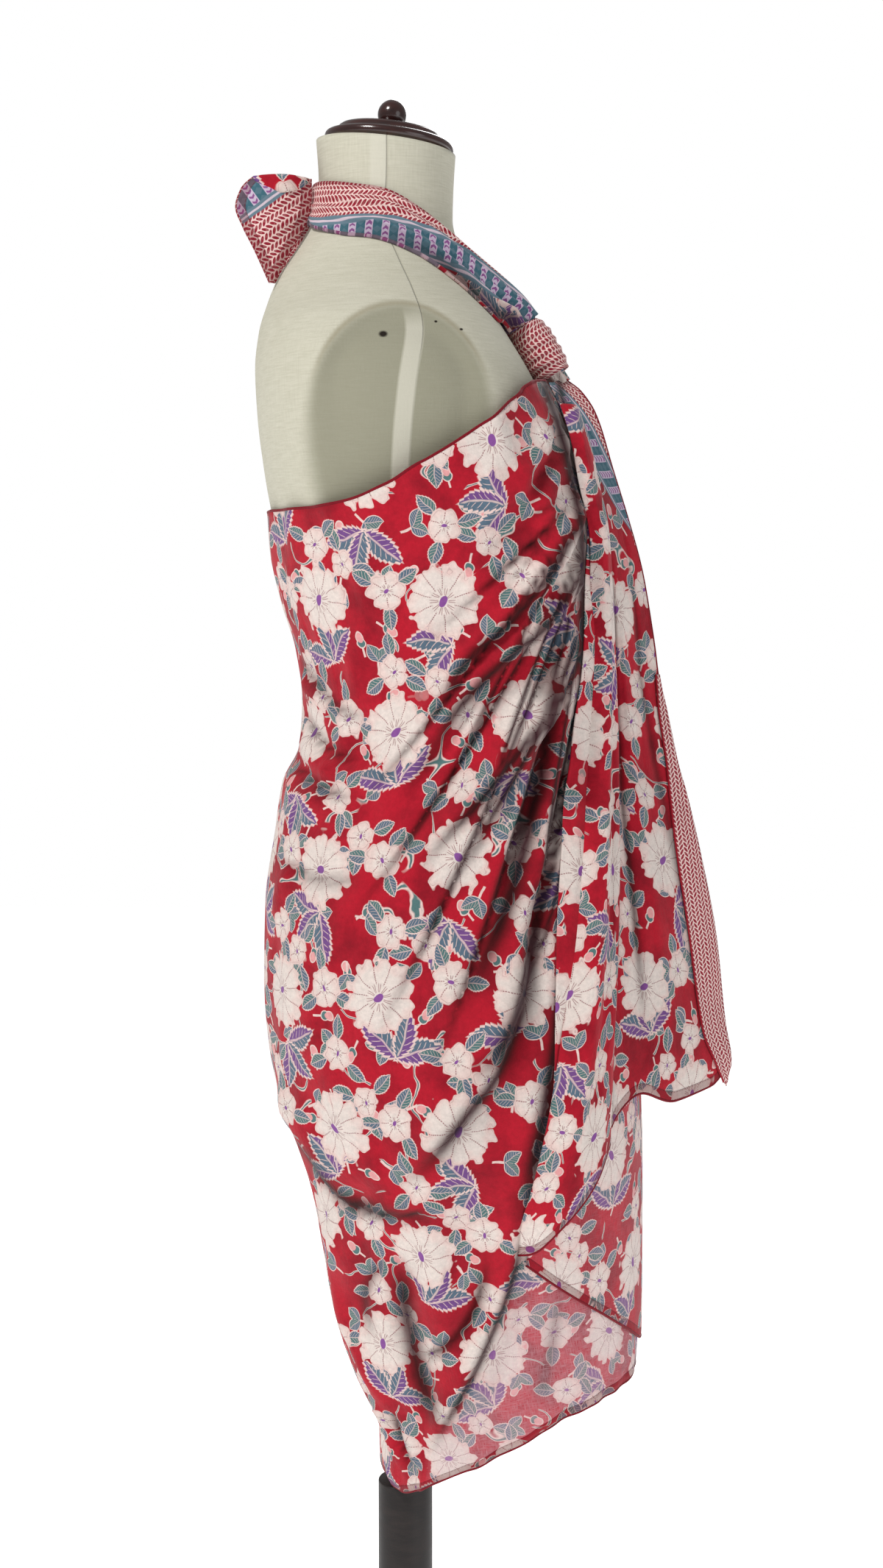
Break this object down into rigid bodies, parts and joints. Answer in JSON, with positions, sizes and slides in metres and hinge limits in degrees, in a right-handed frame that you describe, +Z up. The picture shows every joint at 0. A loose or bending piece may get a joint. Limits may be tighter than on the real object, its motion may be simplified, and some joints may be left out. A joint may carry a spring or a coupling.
{
  "type": "sarong in a halter tie on a limbless dress form",
  "caption": "Floral block-printed cotton sarong tied as a halter wrap on a limbless linen dress form with a wooden neck cap, pole and round base.",
  "frame": {"origin": "centre of the base's underside, on the floor under the pole", "axes": "+Z up along the pole, +X to the front of the dress form, +Y to its left"},
  "size_m": [0.4454, 0.38, 1.4953],
  "materials": {
    "printed_cotton": "matt, floral block print on red",
    "border_cotton": "matt, block-printed border",
    "linen": "matt woven cover",
    "dark_wood": "gloss varnish",
    "black_metal": "satin black"
  },
  "bodies": {
    "root": {"torso": "linen", "neck_cap": "dark_wood", "finial": "dark_wood", "stand_rod": "black_metal", "pole": "black_metal", "base": "black_metal", "wrap": "printed_cotton", "cascade": "printed_cotton", "far_cascade": "printed_cotton", "edge_strip": "border_cotton", "front_fold": "printed_cotton", "under_flap": "printed_cotton", "gather": "printed_cotton", "knot_ring": "border_cotton", "near_strap": "border_cotton", "far_strap": "border_cotton", "neck_knot": "border_cotton", "neck_tail": "border_cotton", "far_tail": "border_cotton"}
  },
  "joints": []
}
